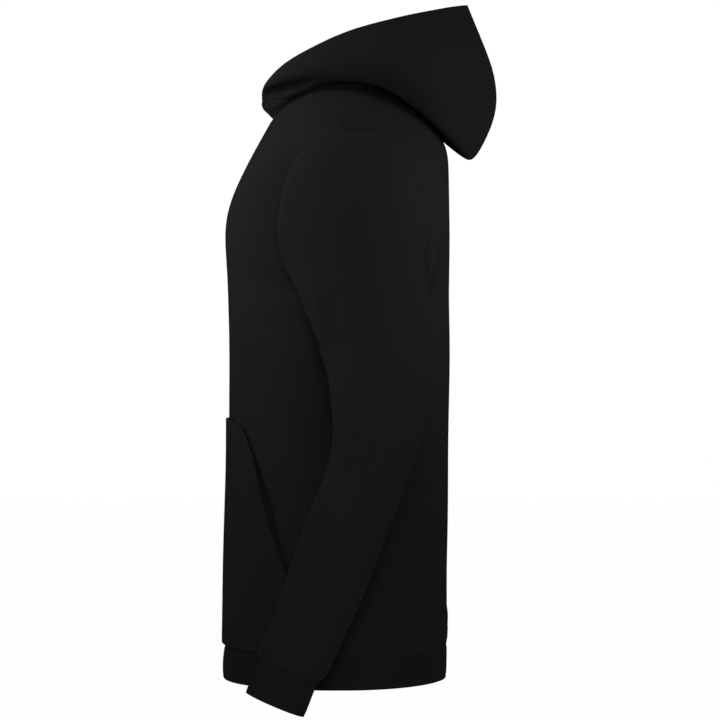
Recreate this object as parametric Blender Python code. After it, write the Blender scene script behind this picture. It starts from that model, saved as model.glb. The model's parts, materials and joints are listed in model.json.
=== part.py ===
"""Zip-up hooded sweatshirt, filled out as worn with nobody in it.

Metres, +Z up. The front faces -Y and the wearer's left is +X. The origin is the middle of the
neck opening, level with the points where the shoulder seams meet the neck. Tables are in
millimetres and degrees. The cloth is one surface first: fronts, back, sleeves, hood, cuffs and
hem band share the points of their seams, so that both sides of a seam get the same normal.
Each panel is then cut from it, drawn back from its seams and given its thickness.
"""

import math

import bmesh
import bpy
import numpy as np
from mathutils import Matrix, Vector

MM = 0.001

# Cloth
FLEECE = 2.2  # thickness of the brushed fleece
BAND = 3.6  # hem band and cuffs, folded double
SEAM_GAP = 0.3  # between two panels at their seam
LAID_ON = 0.8  # from a front to the pocket that is sewn on it

# Body. A row of points runs from the centre line to the side seam, armhole or shoulder seam.
NECK_HALF = 87
SHOULDER_HALF = 222
SHOULDER_Y = 1
ROUNDNESS = 2 / 2.4  # exponent of the rows' superellipse
CENTRE_Z = {"neck": -38, "shoulder": -99, "underarm": -250, "hem": -655}
BACK_CENTRE_Z = {"neck": -14, "shoulder": -84, "underarm": -252, "hem": -654}
BODY_BOTTOM = -693
SIDE_DIP = 3  # how much lower the hem hangs at the sides
ROWS = {"shoulder": 5, "armhole": 12, "side": 13, "band": 2}
ZIP_OPENING = 5.6  # from the centre to a front's edge
GROOVE = 5.0  # how far the zip is sunk between the fuller fronts
GROOVE_HALF = 26
GROOVE_COLUMNS = (ZIP_OPENING, 10, 16, 25)  # distances from the centre of a front's columns
FRONT_COLUMNS = 8  # further columns, up to the side
BACK_COLUMNS = 10

FRONT_CENTRE = [  # the outline seen from the side
    {"z": -38, "y": -81},
    {"z": -59, "y": -92},
    {"z": -97, "y": -112},
    {"z": -132, "y": -127.4},
    {"z": -156, "y": -134},
    {"z": -176, "y": -135.7},
    {"z": -227, "y": -133.3},
    {"z": -309, "y": -130.5},
    {"z": -385, "y": -131.5},
    {"z": -427, "y": -131.5},
    {"z": -557, "y": -134.5},
    {"z": -655, "y": -136.5},
    {"z": -676, "y": -139.5},
    {"z": -700, "y": -138.5},
]
BACK_CENTRE = [
    {"z": -14, "y": 75},
    {"z": -33, "y": 98},
    {"z": -53, "y": 116},
    {"z": -72, "y": 126},
    {"z": -92, "y": 128.6},
    {"z": -250, "y": 128.6},
    {"z": -309, "y": 129.8},
    {"z": -502, "y": 127.4},
    {"z": -654, "y": 126.3},
    {"z": -700, "y": 125},
]
SIDE_SEAM = [
    {"z": -258, "x": 203, "y": 12},
    {"z": -300, "x": 203, "y": 8},
    {"z": -360, "x": 199, "y": 4},
    {"z": -440, "x": 197, "y": 0},
    {"z": -540, "x": 199, "y": -3},
    {"z": -655, "x": 200, "y": -4},
    {"z": -700, "x": 199, "y": -4},
]
ARMHOLE_FRONT = [  # from the shoulder point to the underarm
    {"x": 222, "y": 1, "z": -66},
    {"x": 219, "y": -16, "z": -70},
    {"x": 213, "y": -38, "z": -80},
    {"x": 206, "y": -52, "z": -93},
    {"x": 199, "y": -61, "z": -112},
    {"x": 194, "y": -66, "z": -135},
    {"x": 191, "y": -66, "z": -160},
    {"x": 190, "y": -59, "z": -190},
    {"x": 194, "y": -40, "z": -222},
    {"x": 199, "y": -16, "z": -247},
    {"x": 203, "y": 12, "z": -258},
]
ARMHOLE_BACK = [
    {"x": 222, "y": 1, "z": -66},
    {"x": 221, "y": 33, "z": -66},
    {"x": 217, "y": 53, "z": -71},
    {"x": 210, "y": 69, "z": -84},
    {"x": 204, "y": 80, "z": -101},
    {"x": 198, "y": 90, "z": -129},
    {"x": 195, "y": 96, "z": -158},
    {"x": 194, "y": 93, "z": -188},
    {"x": 196, "y": 76, "z": -222},
    {"x": 199, "y": 45, "z": -249},
    {"x": 203, "y": 12, "z": -258},
]
ROW_ENDS = [  # how far round the body a row reaches, by its share of the way down a span
    {"span": "shoulder", "share": 0, "turn": 90},
    {"span": "shoulder", "share": 0.4, "turn": 76},
    {"span": "shoulder", "share": 1, "turn": 60},
    {"span": "armhole", "share": 0, "turn": 60},
    {"span": "armhole", "share": 0.5, "turn": 63},
    {"span": "armhole", "share": 0.8, "turn": 71},
    {"span": "armhole", "share": 0.92, "turn": 79},
    {"span": "armhole", "share": 1, "turn": 90},
]

# Sleeve sections, shoulder to cuff: middle, half sizes, how far the outside is tipped up
# towards the shoulder and how far the section leans with the forearm
SLEEVE = [
    {"x": 227, "y": 10, "z": -170, "half_width": 94, "half_depth": 82, "tip": 77, "lean": 0},
    {"x": 238, "y": 11, "z": -185, "half_width": 89, "half_depth": 79, "tip": 70, "lean": 0},
    {"x": 246, "y": 18, "z": -204, "half_width": 82, "half_depth": 76, "tip": 63, "lean": 0},
    {"x": 252, "y": 24, "z": -228, "half_width": 75, "half_depth": 74, "tip": 55, "lean": 0},
    {"x": 256, "y": 29, "z": -256, "half_width": 68, "half_depth": 70, "tip": 46, "lean": 0},
    {"x": 259, "y": 37, "z": -290, "half_width": 62, "half_depth": 63, "tip": 36, "lean": 0},
    {"x": 261, "y": 43, "z": -326, "half_width": 57, "half_depth": 57, "tip": 25, "lean": 0},
    {"x": 261, "y": 45, "z": -365, "half_width": 54, "half_depth": 54, "tip": 14, "lean": 0},
    {"x": 260, "y": 44, "z": -404, "half_width": 52, "half_depth": 51, "tip": 7, "lean": 4},
    {"x": 259, "y": 38, "z": -432, "half_width": 51, "half_depth": 47.5, "tip": 3, "lean": 10},
    {"x": 257, "y": 25, "z": -469, "half_width": 50, "half_depth": 45.5, "tip": 0, "lean": 19},
    {"x": 254, "y": 9, "z": -507, "half_width": 48, "half_depth": 45.5, "tip": 0, "lean": 21},
    {"x": 251, "y": -2, "z": -537, "half_width": 47, "half_depth": 46, "tip": 0, "lean": 22},
    {"x": 249, "y": -15, "z": -573, "half_width": 45, "half_depth": 45, "tip": 0, "lean": 22},
    {"x": 247, "y": -26, "z": -601, "half_width": 43, "half_depth": 43, "tip": 0, "lean": 21},
    {"x": 245, "y": -38, "z": -630, "half_width": 42, "half_depth": 41, "tip": 0, "lean": 17},
    {"x": 243, "y": -50, "z": -655, "half_width": 43, "half_depth": 43, "tip": 0, "lean": 16},
    {"x": 242, "y": -54, "z": -665, "half_width": 41, "half_depth": 41, "tip": 0, "lean": 18},
    {"x": 242, "y": -56.5, "z": -670, "half_width": 36, "half_depth": 36, "tip": 0, "lean": 21},
]
CUFF = [
    {"x": 242, "y": -56.5, "z": -670, "half_width": 36, "half_depth": 36, "tip": 0, "lean": 21},
    {"x": 242, "y": -58, "z": -674, "half_width": 35, "half_depth": 35, "tip": 0, "lean": 21},
    {"x": 241, "y": -64, "z": -689, "half_width": 36, "half_depth": 35.5, "tip": 0, "lean": 22},
    {"x": 241, "y": -72, "z": -708, "half_width": 37, "half_depth": 36.5, "tip": 0, "lean": 23},
]

# Hood: five lines run from the zip round to the centre back. "round" is the share of the way
# round the neck. The cloth rises from the neck seam to the crest, falls outside it to the
# fold, and swells out and up again to the rim.
HOOD_CREST = [
    {"round": 0, "x": 7.5, "y": -84, "z": -33},
    {"round": 0.12, "x": 34, "y": -88, "z": -24},
    {"round": 0.25, "x": 69, "y": -69, "z": -17},
    {"round": 0.38, "x": 92, "y": -38, "z": -7},
    {"round": 0.5, "x": 96, "y": -1, "z": 2},
    {"round": 0.65, "x": 88, "y": 40, "z": 8},
    {"round": 0.8, "x": 62, "y": 72, "z": 16},
    {"round": 0.92, "x": 28, "y": 89, "z": 22},
    {"round": 1, "x": 0, "y": 93, "z": 24},
]
HOOD_FOLD = [
    {"round": 0, "x": 8.5, "y": -89, "z": -28},
    {"round": 0.12, "x": 38, "y": -88, "z": -14},
    {"round": 0.25, "x": 73, "y": -66, "z": -7},
    {"round": 0.38, "x": 98, "y": -34, "z": -2},
    {"round": 0.5, "x": 108, "y": 2, "z": 0},
    {"round": 0.65, "x": 115, "y": 44, "z": -10},
    {"round": 0.8, "x": 104, "y": 90, "z": -36},
    {"round": 0.92, "x": 54, "y": 136, "z": -79},
    {"round": 1, "x": 0, "y": 151, "z": -93},
]
HOOD_SWELL = [
    {"round": 0, "x": 10, "y": -92, "z": -24},
    {"round": 0.12, "x": 43, "y": -92, "z": -8},
    {"round": 0.25, "x": 80, "y": -75, "z": 6},
    {"round": 0.38, "x": 107, "y": -36, "z": 20},
    {"round": 0.5, "x": 121, "y": 7, "z": 30},
    {"round": 0.65, "x": 129, "y": 62, "z": 28},
    {"round": 0.8, "x": 117, "y": 118, "z": 6},
    {"round": 0.92, "x": 62, "y": 167, "z": -14},
    {"round": 1, "x": 0, "y": 187, "z": -20},
]
HOOD_RIM = [
    {"round": 0, "x": 11, "y": -93, "z": -20},
    {"round": 0.12, "x": 38, "y": -89, "z": 0},
    {"round": 0.25, "x": 68, "y": -70, "z": 21},
    {"round": 0.38, "x": 94, "y": -30, "z": 43},
    {"round": 0.5, "x": 109, "y": 14, "z": 61},
    {"round": 0.65, "x": 114, "y": 68, "z": 75},
    {"round": 0.8, "x": 88, "y": 118, "z": 87},
    {"round": 0.92, "x": 36, "y": 145, "z": 95},
    {"round": 1, "x": 0, "y": 151, "z": 98},
]
HOOD_ROWS = (2, 3, 3, 3)  # from one line to the next

# Half of a kangaroo pocket on each front
POCKET_TOP = -389
POCKET_TOP_DROP = 12  # how much lower the top edge lies at the mouth
POCKET_BOTTOM = -652
POCKET_INNER = 28  # from the centre to the pocket's edge beside the zip
POCKET_MOUTH = [  # the slanting edge that a hand goes past, then the edge sewn down to the hem
    {"z": -401, "x": 131},
    {"z": -429, "x": 150},
    {"z": -458, "x": 161},
    {"z": -515, "x": 178},
    {"z": -556, "x": 188},
    {"z": -590, "x": 191},
    {"z": -652, "x": 191},
]
MOUTH_LIFT = 2.8  # how far the mouth stands off the front
MOUTH_HIGH = -420
MOUTH_LOW = -565
POCKET_ROWS = 11
POCKET_COLUMNS = 9

# Zip
TAPE = 0.9
TAPE_HALF = 14  # from the centre to the tape's outer edge, inside the front
CHAIN_HALF = 3.0
CHAIN = 2.4
ZIP_GAP = 0.35  # from cloth to tape, and from tape to chain
SLIDER_BELOW_NECK = 15  # from the neck seam to the middle of the slider
SLIDER_LENGTH = 11
SLIDER_HALF = 4.8
PLATE = 1.1
CHANNEL = 3.2  # between the slider's plates
POST = 2.6
LIP = 0.8
LUG_HALF = 1.3  # half width of the slider's bridge
LUG = 1.1  # thickness of the bridge
LUG_CLEAR = 2.4  # height under it
PULL_BAR = 1.5  # thickness of the pull tab
PULL_HALF = 3.7
PULL_EYE_HALF = 2.5
PULL_EYE = 5.6  # length of the window that the bridge passes through
PULL_LENGTH = 30
STOP = 3.0
BOX_LENGTH = 11
BOX_HALF = 4.4

# Colours, as linear values
FLEECE_COLOUR = (0.0103, 0.0103, 0.0106)
RIB_COLOUR = (0.0084, 0.0083, 0.0082)
TAPE_COLOUR = (0.0075, 0.0075, 0.0080)
METAL_COLOUR = (0.030, 0.030, 0.032)


def column(table, name):
    return np.array([row[name] for row in table], float)


def place(table):
    return np.column_stack([column(table, axis) for axis in "xyz"])


def between_rows(knots, values, at):
    """The value of a table's column between its rows, without overshooting them."""
    if knots[0] > knots[-1]:
        knots, values = knots[::-1], values[::-1]
    steps = np.diff(knots)
    rises = np.diff(values) / steps
    slopes = np.concatenate(([rises[0]], np.zeros(len(knots) - 2), [rises[-1]]))
    for i in range(1, len(knots) - 1):
        if rises[i - 1] * rises[i] > 0:
            slopes[i] = 2 * rises[i - 1] * rises[i] / (rises[i - 1] + rises[i])
    i = int(np.clip(np.searchsorted(knots, at) - 1, 0, len(knots) - 2))
    t = min(max((at - knots[i]) / steps[i], 0), 1)
    return float(
        values[i] * (1 + 2 * t) * (1 - t) ** 2
        + values[i + 1] * t * t * (3 - 2 * t)
        + steps[i] * (slopes[i] * t * (1 - t) ** 2 - slopes[i + 1] * t * t * (1 - t))
    )


def curve_by_spans(points, counts):
    """A smooth curve through the given points, with so many steps from each to the next."""
    points = np.array(points, float)
    knots = np.concatenate(([0], np.cumsum(np.linalg.norm(np.diff(points, axis=0), axis=1))))
    slopes = np.gradient(points, knots, axis=0)
    curve = [points[0]]
    for i, step in enumerate(np.diff(knots)):
        for t in np.linspace(0, 1, counts[i] + 1)[1:]:
            curve.append(
                points[i] * (1 + 2 * t) * (1 - t) ** 2
                + points[i + 1] * t * t * (3 - 2 * t)
                + step * (slopes[i] * t * (1 - t) ** 2 - slopes[i + 1] * t * t * (1 - t))
            )
    return np.array(curve)


def curve_through(points, shares):
    """Points of a smooth curve through the given ones, at shares of its length."""
    dense = curve_by_spans(points, [24] * (len(points) - 1))
    lengths = np.concatenate(([0], np.cumsum(np.linalg.norm(np.diff(dense, axis=0), axis=1))))
    wanted = np.array(shares) * lengths[-1]
    return np.column_stack([np.interp(wanted, lengths, dense[:, axis]) for axis in range(3)])


def smooth_step(t):
    t = min(max(t, 0), 1)
    return t * t * (3 - 2 * t)


def to_metres(point):
    return Vector(point) * MM


def mirrored(points):
    return [Vector((-point.x, point.y, point.z)) for point in points]


# ---------------------------------------------------------------- body


def row_end(span, share):
    table = [row for row in ROW_ENDS if row["span"] == span]
    return between_rows(column(table, "share"), column(table, "turn"), share)


def body_rows(centre_z, armhole):
    """Each row's middle height, its end at the edge, and how far round the body it goes."""
    rows = []
    for i in range(ROWS["shoulder"]):
        share = i / ROWS["shoulder"]
        edge = (
            NECK_HALF + (SHOULDER_HALF - NECK_HALF) * share,
            SHOULDER_Y * share - 3 * (1 - share),
            -4 + (ARMHOLE_FRONT[0]["z"] + 4) * share + 5 * math.sin(math.pi * share),
        )
        z = centre_z["neck"] + (centre_z["shoulder"] - centre_z["neck"]) * share
        rows.append((z, edge, row_end("shoulder", share)))
    shares = np.linspace(0, 1, ROWS["armhole"] + 1)[:-1]
    for share, edge in zip(shares, curve_through(place(armhole), shares)):
        z = centre_z["shoulder"] + (centre_z["underarm"] - centre_z["shoulder"]) * share
        rows.append((z, edge, row_end("armhole", share)))
    seam_z = column(SIDE_SEAM, "z")
    for i in range(ROWS["side"] + ROWS["band"] + 1):
        if i <= ROWS["side"]:
            share = i / ROWS["side"]
            z = centre_z["underarm"] + (centre_z["hem"] - centre_z["underarm"]) * share
            edge_z = seam_z[0] + (CENTRE_Z["hem"] - SIDE_DIP - seam_z[0]) * share
        else:
            share = (i - ROWS["side"]) / ROWS["band"]
            z = centre_z["hem"] + (BODY_BOTTOM - centre_z["hem"]) * share
            edge_z = CENTRE_Z["hem"] - SIDE_DIP + (BODY_BOTTOM - CENTRE_Z["hem"]) * share
        edge = [between_rows(seam_z, column(SIDE_SEAM, axis), edge_z) for axis in "xy"]
        rows.append((z, (*edge, edge_z), 90))
    return rows


def row_point(row, centre_line, turn):
    """The point of a row that lies `turn` radians round from the centre line."""
    z, edge, last = row
    last = math.radians(last)
    y = between_rows(column(centre_line, "z"), column(centre_line, "y"), z)
    across = math.sin(turn) ** ROUNDNESS / math.sin(last) ** ROUNDNESS
    back = (1 - math.cos(turn) ** ROUNDNESS) / (1 - max(math.cos(last), 0) ** ROUNDNESS)
    rise = smooth_step(turn / last) ** 1.3
    return (edge[0] * across, y + (edge[1] - y) * back, z + (edge[2] - z) * rise)


def turn_at(row, x):
    """How far round a row lies the point at this distance from the centre."""
    last = math.radians(row[2])
    reach = row[1][0] / math.sin(last) ** ROUNDNESS
    return math.asin(min(x / reach, 1) ** (1 / ROUNDNESS))


def sunk_for_zip(x):
    return GROOVE * (1 - smooth_step((x - 3) / (GROOVE_HALF - 3)))


def front_point(row, turn):
    x, y, z = row_point(row, FRONT_CENTRE, turn)
    return to_metres((x, y + sunk_for_zip(x), z))


def front_grid(rows):
    grid = []
    for row in rows:
        start = turn_at(row, GROOVE_COLUMNS[-1])
        last = math.radians(row[2])
        turns = [turn_at(row, x) for x in GROOVE_COLUMNS]
        turns += [start + (last - start) * j / FRONT_COLUMNS for j in range(1, FRONT_COLUMNS + 1)]
        grid.append([front_point(row, turn) for turn in turns])
    return grid


def back_grid(rows):
    """Half the back, from the side to the centre."""
    grid = []
    for row in rows:
        last = math.radians(row[2])
        turns = [last * (1 - j / BACK_COLUMNS) for j in range(BACK_COLUMNS + 1)]
        grid.append([to_metres(row_point(row, BACK_CENTRE, turn)) for turn in turns])
    return grid


# ---------------------------------------------------------------- sleeves and hood


def sleeve_ring(section, count):
    tip = math.radians(section["tip"])
    lean = Matrix.Rotation(math.radians(-section["lean"]), 3, "X")
    outwards = lean @ Vector((math.cos(tip), 0, math.sin(tip)))
    forwards = lean @ Vector((0, -1, 0))
    middle = Vector((section["x"], section["y"], section["z"]))
    ring = []
    for i in range(count):
        turn = 2 * math.pi * i / count
        across = outwards * section["half_width"] * math.cos(turn)
        ring.append(to_metres(middle + across + forwards * section["half_depth"] * math.sin(turn)))
    return ring


def armhole_ring(front, back):
    """Round the armhole from the shoulder point, down the front and up the back."""
    first = ROWS["shoulder"]
    last = first + ROWS["armhole"]
    down = [row[-1] for row in front[first:last]]
    up = [row[0] for row in back[first + 1 : last + 1]]
    return down + up[::-1]


def hood_grid(neck):
    """Rows from the neck seam to the rim, columns from the zip to the centre back."""
    steps = [0] + [(b - a).length for a, b in zip(neck, neck[1:])]
    shares = np.cumsum(steps) / sum(steps)
    columns = []
    for point, share in zip(neck, shares):
        through = [tuple(point / MM)]
        for line in (HOOD_CREST, HOOD_FOLD, HOOD_SWELL, HOOD_RIM):
            knots = column(line, "round")
            through.append([between_rows(knots, column(line, axis), share) for axis in "xyz"])
        columns.append(curve_by_spans(through, HOOD_ROWS))
    return [[to_metres(col[i]) for col in columns] for i in range(sum(HOOD_ROWS) + 1)]


# ---------------------------------------------------------------- one surface, cut into panels


class Cloth:
    """The whole garment as one surface, whose faces know which panel they belong to."""

    def __init__(self):
        self.mesh = bmesh.new()
        self.panels = []

    def add(self, panel, grid, flip=False, closed=False):
        if panel not in self.panels:
            self.panels.append(panel)
        made = [[self.mesh.verts.new(point) for point in row] for row in grid]
        for upper, lower in zip(made, made[1:]):
            count = len(upper)
            for j in range(count if closed else count - 1):
                k = (j + 1) % count
                corners = [upper[j], lower[j], lower[k], upper[k]]
                face = self.mesh.faces.new(corners[::-1] if flip else corners)
                face.material_index = self.panels.index(panel)

    def add_both(self, panel, grid, flip=False, closed=False):
        """The left piece and the right one. A panel that spans both has the same name twice."""
        left, right = panel
        self.add(left, grid, flip, closed)
        self.add(right, [mirrored(row) for row in grid], not flip, closed)

    def weld(self):
        bmesh.ops.remove_doubles(self.mesh, verts=self.mesh.verts, dist=0.02 * MM)
        # Both sides of a wall then bend along the same diagonals.
        bmesh.ops.triangulate(self.mesh, faces=self.mesh.faces, quad_method="SHORT_EDGE")
        self.mesh.normal_update()
        self.mesh.verts.index_update()

    def panel_faces(self, panel):
        index = self.panels.index(panel)
        return [face for face in self.mesh.faces if face.material_index == index]


def drawn_back(vert, faces, normal, gap):
    """A seam's point, moved into its own panel, square to the edges on both sides."""
    inwards = []
    for edge in vert.link_edges:
        inside = [face for face in edge.link_faces if face in faces]
        if len(inside) == 1:
            along = (edge.other_vert(vert).co - vert.co).normalized()
            into = along.cross(normal)
            if into.dot(inside[0].calc_center_median() - vert.co) < 0:
                into.negate()
            inwards.append(into.normalized())
    if not inwards:
        return vert.co.copy()
    both = sum(inwards, Vector())
    return vert.co + both * gap / max(0.5 * both.length_squared, 0.3)


def wall(name, faces, thickness, colour, roughness=0.95):
    """A closed wall. Its outside is the panel's surface and its inside lies a thickness in,
    along the normals that the panels share."""
    faces = set(faces)
    mesh = bmesh.new()
    outer, inner = {}, {}
    for face in faces:
        for vert in face.verts:
            if vert not in outer:
                outside = drawn_back(vert, faces, vert.normal, SEAM_GAP / 2 * MM)
                outer[vert] = mesh.verts.new(outside)
                inner[vert] = mesh.verts.new(outside - vert.normal * thickness * MM)
    for face in faces:
        corners = list(face.verts)
        mesh.faces.new([outer[vert] for vert in corners])
        mesh.faces.new([inner[vert] for vert in reversed(corners)])
        for i, vert in enumerate(corners):
            after = corners[(i + 1) % len(corners)]
            edge = next(e for e in vert.link_edges if e.other_vert(vert) is after)
            if sum(other in faces for other in edge.link_faces) > 1:
                continue
            # Both panels at a seam split the seam's face along the same diagonal.
            if vert.index < after.index:
                mesh.faces.new([outer[after], outer[vert], inner[after]])
                mesh.faces.new([outer[vert], inner[vert], inner[after]])
            else:
                mesh.faces.new([outer[after], outer[vert], inner[vert]])
                mesh.faces.new([outer[after], inner[vert], inner[after]])
    return finish(name, mesh, colour, roughness, smooth=True)


# ---------------------------------------------------------------- objects


def finish(name, mesh, colour, roughness, metallic=0, smooth=False):
    data = bpy.data.meshes.new(name)
    mesh.to_mesh(data)
    mesh.free()
    thing = bpy.data.objects.new(name, data)
    PARTS.objects.link(thing)
    return dressed(thing, colour, roughness, metallic, smooth)


def dressed(thing, colour, roughness, metallic=0, smooth=False):
    material = bpy.data.materials.new(thing.name)
    material.use_nodes = True
    surface = material.node_tree.nodes["Principled BSDF"]
    surface.inputs["Base Color"].default_value = (*colour, 1)
    surface.inputs["Roughness"].default_value = roughness
    surface.inputs["Metallic"].default_value = metallic
    material.diffuse_color = (*colour, 1)
    thing.data.materials.clear()
    thing.data.materials.append(material)
    if smooth:
        thing.data.shade_smooth()
    return thing


def lifted_strip(name, grid, out, thickness, colour, roughness=0.95, flip=False):
    """A wall on a grid of (point, normal), each point moved `out` along its normal."""
    mesh = bmesh.new()
    sides = []
    for level in (0, thickness):
        sides.append(
            [
                [
                    mesh.verts.new(point + normal * (out(i, j) - level) * MM)
                    for j, (point, normal) in enumerate(row)
                ]
                for i, row in enumerate(grid)
            ]
        )
    top, under = sides
    rows, columns = len(grid), len(grid[0])
    for i in range(rows - 1):
        for j in range(columns - 1):
            for level, turn in ((top, flip), (under, not flip)):
                corners = [level[i][j], level[i + 1][j], level[i + 1][j + 1], level[i][j + 1]]
                mesh.faces.new(corners[::-1] if turn else corners)
    border = [(i, 0) for i in range(rows)]
    border += [(rows - 1, j) for j in range(1, columns)]
    border += [(i, columns - 1) for i in range(rows - 2, -1, -1)]
    border += [(0, j) for j in range(columns - 2, 0, -1)]
    for (i, j), (k, m) in zip(border, border[1:] + border[:1]):
        corners = [top[i][j], under[i][j], under[k][m], top[k][m]]
        mesh.faces.new(corners[::-1] if flip else corners)
    return finish(name, mesh, colour, roughness, smooth=True)


def frames_of(grid):
    """The points of a grid with its outward normals."""
    rows, columns = len(grid), len(grid[0])
    framed = []
    for i in range(rows):
        row = []
        for j in range(columns):
            down = grid[min(i + 1, rows - 1)][j] - grid[max(i - 1, 0)][j]
            across = grid[i][min(j + 1, columns - 1)] - grid[i][max(j - 1, 0)]
            row.append((grid[i][j], down.cross(across).normalized()))
        framed.append(row)
    return framed


def frames_mirrored(framed):
    flipped = Vector((-1, 1, 1))
    return [[(point * flipped, normal * flipped) for point, normal in row] for row in framed]


# ---------------------------------------------------------------- pockets and zip


def row_at_height(z):
    """A row of the front whose middle lies at this height, below the underarm."""
    seam_z = column(SIDE_SEAM, "z")
    share = (z - CENTRE_Z["underarm"]) / (CENTRE_Z["hem"] - CENTRE_Z["underarm"])
    edge_z = seam_z[0] + (CENTRE_Z["hem"] - SIDE_DIP - seam_z[0]) * share
    edge = [between_rows(seam_z, column(SIDE_SEAM, axis), edge_z) for axis in "xy"]
    return (z, (*edge, edge_z), 90)


def pocket_grid():
    heights, reaches = column(POCKET_MOUTH, "z"), column(POCKET_MOUTH, "x")
    grid = []
    for i in range(POCKET_ROWS + 1):
        down = i / POCKET_ROWS
        outer_z = heights[0] + (POCKET_BOTTOM - heights[0]) * down
        outer = between_rows(heights, reaches, outer_z)
        start, end = (turn_at(row_at_height(outer_z), x) for x in (POCKET_INNER, outer))
        row = []
        for j in range(POCKET_COLUMNS + 1):
            share = j / POCKET_COLUMNS
            top = POCKET_TOP - POCKET_TOP_DROP * share**3
            z = top + (POCKET_BOTTOM - top) * down
            row.append(front_point(row_at_height(z), start + (end - start) * share))
        grid.append(row)
    return grid


def mouth_lift(grid):
    """How far each of the pocket's points stands off the front."""

    def lift(i, j):
        z = grid[i][-1].z / MM
        middle = (MOUTH_HIGH + MOUTH_LOW) / 2
        along = max(1 - abs((z - middle) / (MOUTH_HIGH - middle)), 0)
        towards_mouth = smooth_step((j / POCKET_COLUMNS - 0.4) / 0.6)
        return LAID_ON + FLEECE + MOUTH_LIFT * towards_mouth * smooth_step(2 * along)

    return lift


def zip_depth(z):
    """How deep the middle of the tape lies under the outside of the fronts and the band."""
    cloth = FLEECE + (BAND - FLEECE) * smooth_step((CENTRE_Z["hem"] + 25 - z) / 22)
    return cloth + ZIP_GAP + TAPE / 2


def zip_rows(rows, xs):
    """The sunk middle of the front, framed, at these distances from the centre."""
    grid = []
    for row in rows:
        points = []
        for x in xs:
            _, y, z = row_point(row, FRONT_CENTRE, turn_at(row, abs(x)))
            points.append(to_metres((x, y + sunk_for_zip(abs(x)), z)))
        grid.append(points)
    return frames_of(grid)


def build_zip(rows):
    tape = zip_rows(rows, (CHAIN_HALF + ZIP_GAP, 9, TAPE_HALF))

    def tape_out(i, _):
        return TAPE / 2 - zip_depth(rows[i][0])

    lifted_strip("zip_tape_left", tape, tape_out, TAPE, TAPE_COLOUR)
    lifted_strip("zip_tape_right", frames_mirrored(tape), tape_out, TAPE, TAPE_COLOUR, flip=True)

    slider_z = CENTRE_Z["neck"] - SLIDER_BELOW_NECK
    chain_rows = [(slider_z - 1.5, *rows[0][1:])]
    chain_rows += [row for row in rows if BODY_BOTTOM + BOX_LENGTH < row[0] < slider_z - 8]
    chain_rows.append((BODY_BOTTOM + BOX_LENGTH + 1, *rows[-1][1:]))
    chain = zip_rows(chain_rows, (-CHAIN_HALF, 0, CHAIN_HALF))

    def chain_out(i, _):
        return CHAIN / 2 - zip_depth(chain_rows[i][0])

    lifted_strip("zip_chain", chain, chain_out, CHAIN, METAL_COLOUR, roughness=0.4)
    return slider_z


def centre_frame(z):
    """Point, up along the zip and outward normal at the centre of the fronts."""
    heights, depths = column(FRONT_CENTRE, "z"), column(FRONT_CENTRE, "y")
    y = between_rows(heights, depths, z) + GROOVE
    above, below = (between_rows(heights, depths, z + dz) for dz in (8, -8))
    upwards = Vector((0, above - below, 16)).normalized()
    outwards = Vector((1, 0, 0)).cross(upwards)
    if outwards.y > 0:
        outwards.negate()
    return to_metres((0, y, z)), upwards, outwards


def zip_matrix(z, depth):
    """Local x to the wearer's right, y out of the cloth, z up along the zip."""
    point, upwards, outwards = centre_frame(z)
    place_at = point - outwards * depth * MM
    sideways = outwards.cross(upwards)
    turn = Matrix((sideways, outwards, upwards)).transposed().to_4x4()
    return Matrix.Translation(place_at) @ turn


def block(size, middle, bevel=0):
    """A box in millimetres, as a mesh object outside the parts."""
    mesh = bmesh.new()
    bmesh.ops.create_cube(mesh, size=1)
    bmesh.ops.scale(mesh, vec=Vector(size) * MM, verts=mesh.verts)
    bmesh.ops.translate(mesh, vec=Vector(middle) * MM, verts=mesh.verts)
    if bevel:
        edges = [e for e in mesh.edges if abs((e.verts[0].co - e.verts[1].co).y) > 1e-6]
        bmesh.ops.bevel(
            mesh, geom=edges, offset=bevel * MM, segments=2, profile=0.5, affect="EDGES"
        )
    data = bpy.data.meshes.new("block")
    mesh.to_mesh(data)
    mesh.free()
    thing = bpy.data.objects.new("block", data)
    TOOLS.objects.link(thing)
    thing.hide_render = True
    thing.display_type = "WIRE"
    return thing


def joined(name, first, others, matrix, colour, roughness):
    """A first block with others united to it, or cut from it."""
    PARTS.objects.link(first)
    TOOLS.objects.unlink(first)
    first.name = name
    first.data.name = name
    first.hide_render = False
    first.display_type = "TEXTURED"
    first.matrix_world = matrix
    for other, operation in others:
        other.matrix_world = matrix
        cut = first.modifiers.new(operation.lower(), "BOOLEAN")
        cut.operation = operation
        cut.object = other
    dressed(first, colour, roughness, metallic=1)
    return first


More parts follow.
